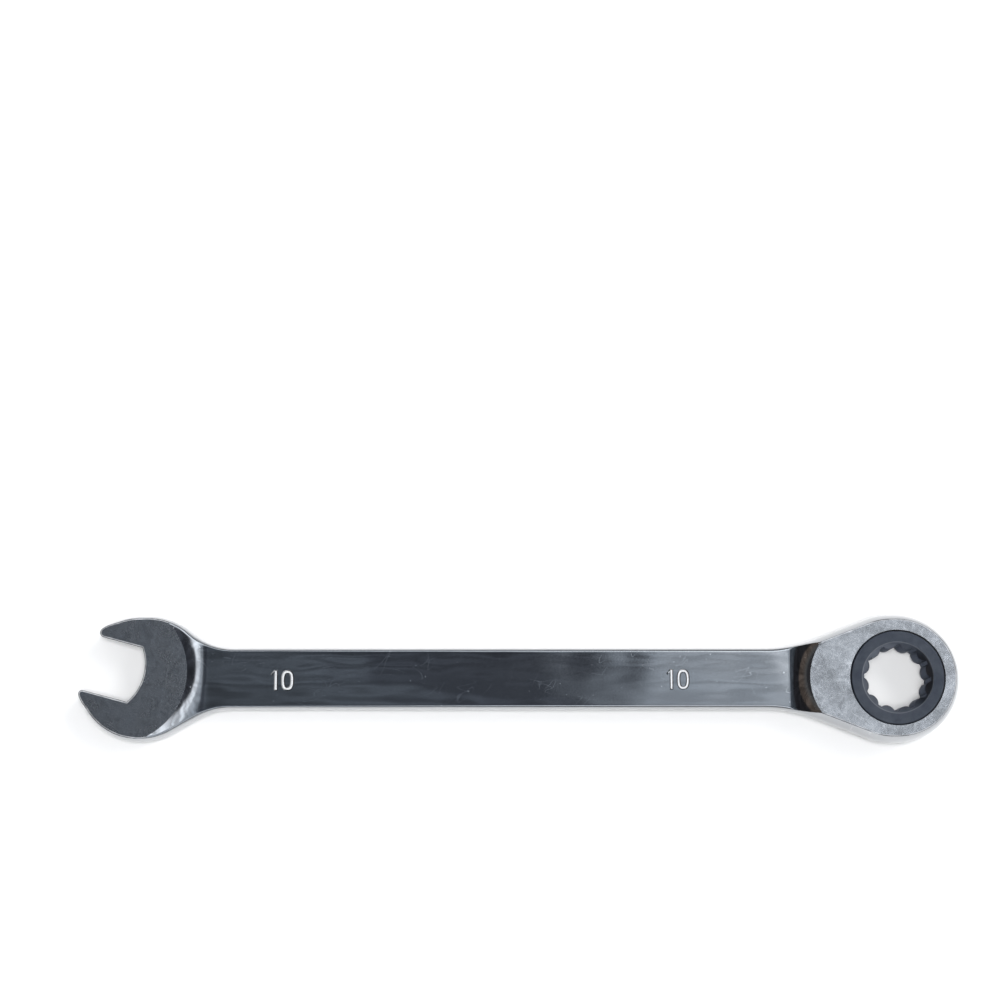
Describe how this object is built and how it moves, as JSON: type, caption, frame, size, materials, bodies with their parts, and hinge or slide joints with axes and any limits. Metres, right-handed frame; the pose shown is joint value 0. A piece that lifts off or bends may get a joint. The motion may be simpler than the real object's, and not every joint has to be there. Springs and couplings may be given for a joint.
{
  "type": "ratcheting combination wrench",
  "caption": "Ratcheting combination wrench: an angled open jaw at one end and a one-way ratchet ring with a bihexagonal socket at the other.",
  "frame": {"origin": "middle of the wrench's length and width, in the plane that the ring end's lower face lies on", "axes": "+X from the open jaw to the ring along the handle, +Y towards the upper jaw in the plane of the wrench, +Z out of the ring's upper face"},
  "size_m": [0.159, 0.023, 0.0084],
  "materials": {
    "chrome_steel": "polished chrome plate on the handle, satin ground faces on both heads",
    "black_oxide_steel": "matte black oxide",
    "hardened_steel": "oiled hardened steel",
    "spring_steel": "bright drawn wire",
    "ring_steel": "phosphated spring steel"
  },
  "bodies": {
    "wrench": {"wrench_body": "chrome_steel", "retaining_ring": "ring_steel", "pawl_spring": "spring_steel"},
    "gear": {"ratchet_gear": "black_oxide_steel"},
    "pawl": {"pawl": "hardened_steel"}
  },
  "joints": [
    {"name": "gear_spin", "type": "hinge", "parent": "wrench", "child": "gear", "pos_m": [0.06795, 0, 0], "axis": [0, 0, 1], "continuous": true},
    {"name": "pawl_slide", "type": "slide", "parent": "wrench", "child": "pawl", "axis": [-1, 0, 0], "range_m": [0, 0.0006], "stiffness_N_per_m": 400, "springref_m": -0.0015, "deforming": ["pawl_spring"]}
  ]
}
